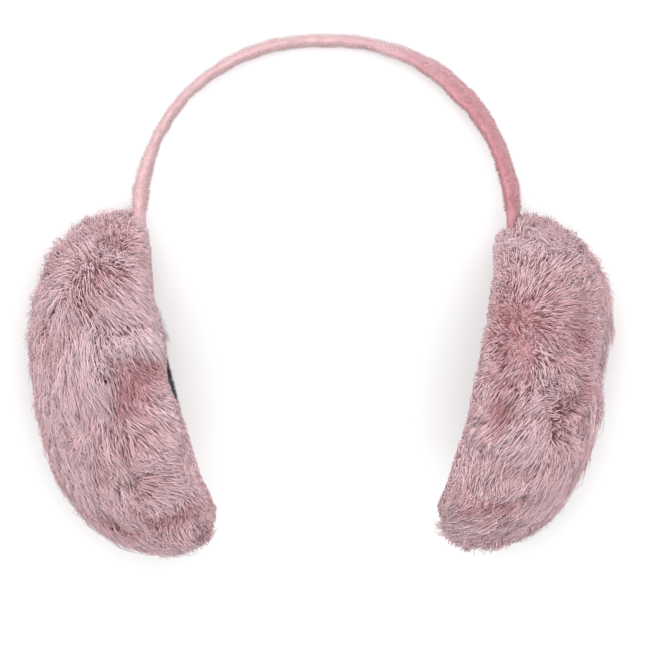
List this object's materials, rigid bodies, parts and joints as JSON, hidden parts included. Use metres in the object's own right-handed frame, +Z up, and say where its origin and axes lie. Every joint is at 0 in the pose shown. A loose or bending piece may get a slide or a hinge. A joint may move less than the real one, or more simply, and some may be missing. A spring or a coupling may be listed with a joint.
{
  "type": "fur earmuffs",
  "caption": "Earmuffs: a narrow springy headband in a fleece sleeve with a round deep-fur ear pad and a dark inner lining at each end, lying on their back.",
  "frame": {"origin": "centre of the overall box on the floor plane that the pads' pressed fur and the crown's back edge rest on", "axes": "+X to the right pad of the picture, +Y towards the headband's crown, +Z up from the floor towards the earmuffs' front"},
  "size_m": [0.2296, 0.1984, 0.1066],
  "materials": {
    "fleece": "soft pink fleece nap",
    "fur": "long plush faux fur, dusty mauve pink",
    "lining": "dark charcoal plush"
  },
  "bodies": {
    "root": {"headband": "fleece", "left_ear_fur": "fur", "right_ear_fur": "fur", "left_ear_lining": "lining", "right_ear_lining": "lining"}
  },
  "joints": []
}
